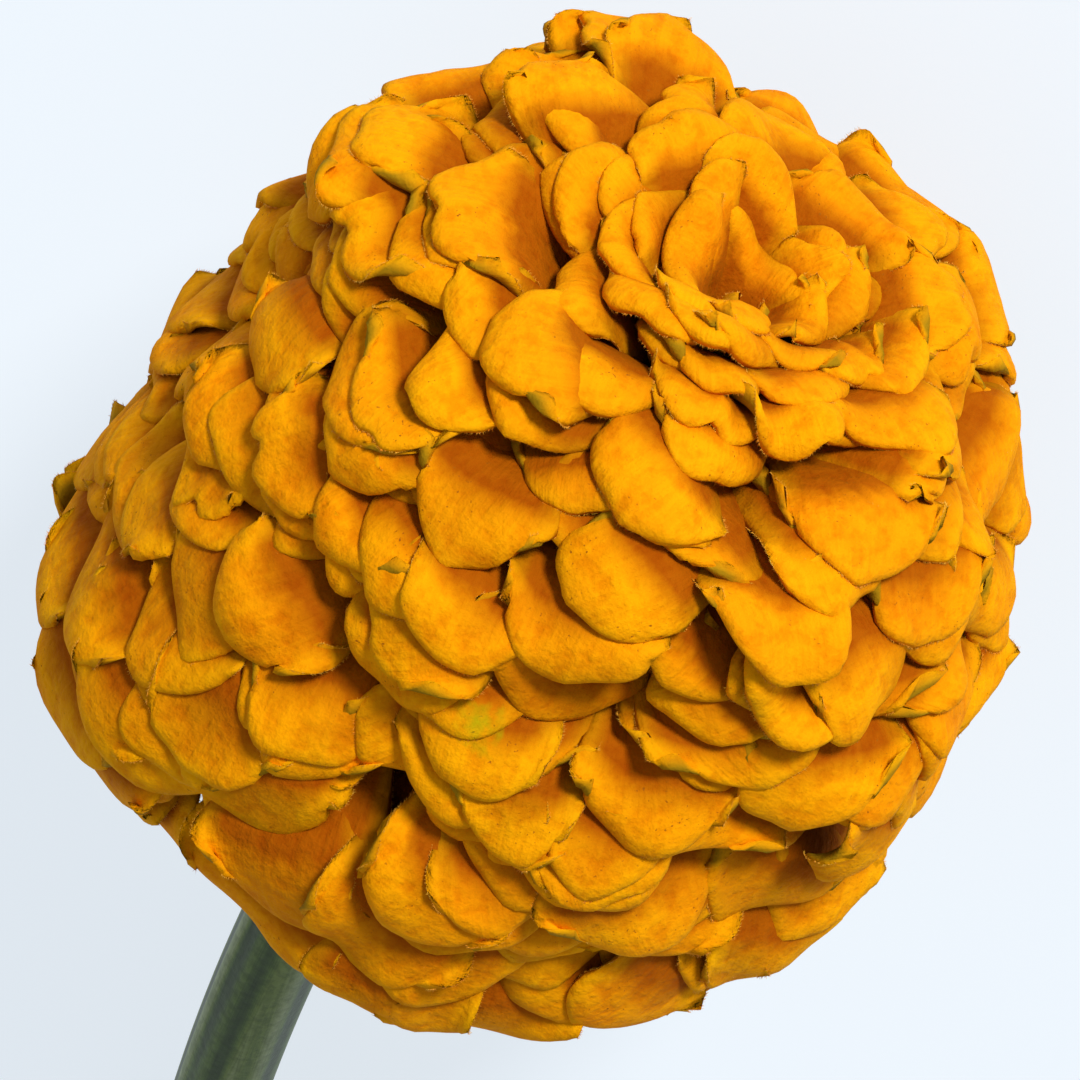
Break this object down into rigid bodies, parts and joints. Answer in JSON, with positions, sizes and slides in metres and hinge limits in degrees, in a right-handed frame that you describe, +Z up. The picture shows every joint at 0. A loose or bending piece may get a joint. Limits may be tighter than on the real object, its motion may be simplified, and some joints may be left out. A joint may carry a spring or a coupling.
{
  "type": "cut zinnia flower",
  "caption": "Cut double flower lying on its side: a domed head of overlapping orange petals on a green cup of bracts, with a bare bent stem. A decoration.",
  "frame": {"origin": "on the surface that the flower lies on, under the middle of its bounding box", "axes": "+X from the stem's cut end towards the bloom, +Z up from the surface, and the stem bends aside to -Y"},
  "size_m": [0.1395, 0.0589, 0.0576],
  "materials": {
    "petals": "soft matt, golden orange",
    "bracts": "dull green with dark margins",
    "stem_skin": "dark green skin with pale lengthwise bands"
  },
  "bodies": {
    "root": {"ray_florets": "petals", "involucre": "bracts", "stem": "stem_skin"}
  },
  "joints": []
}
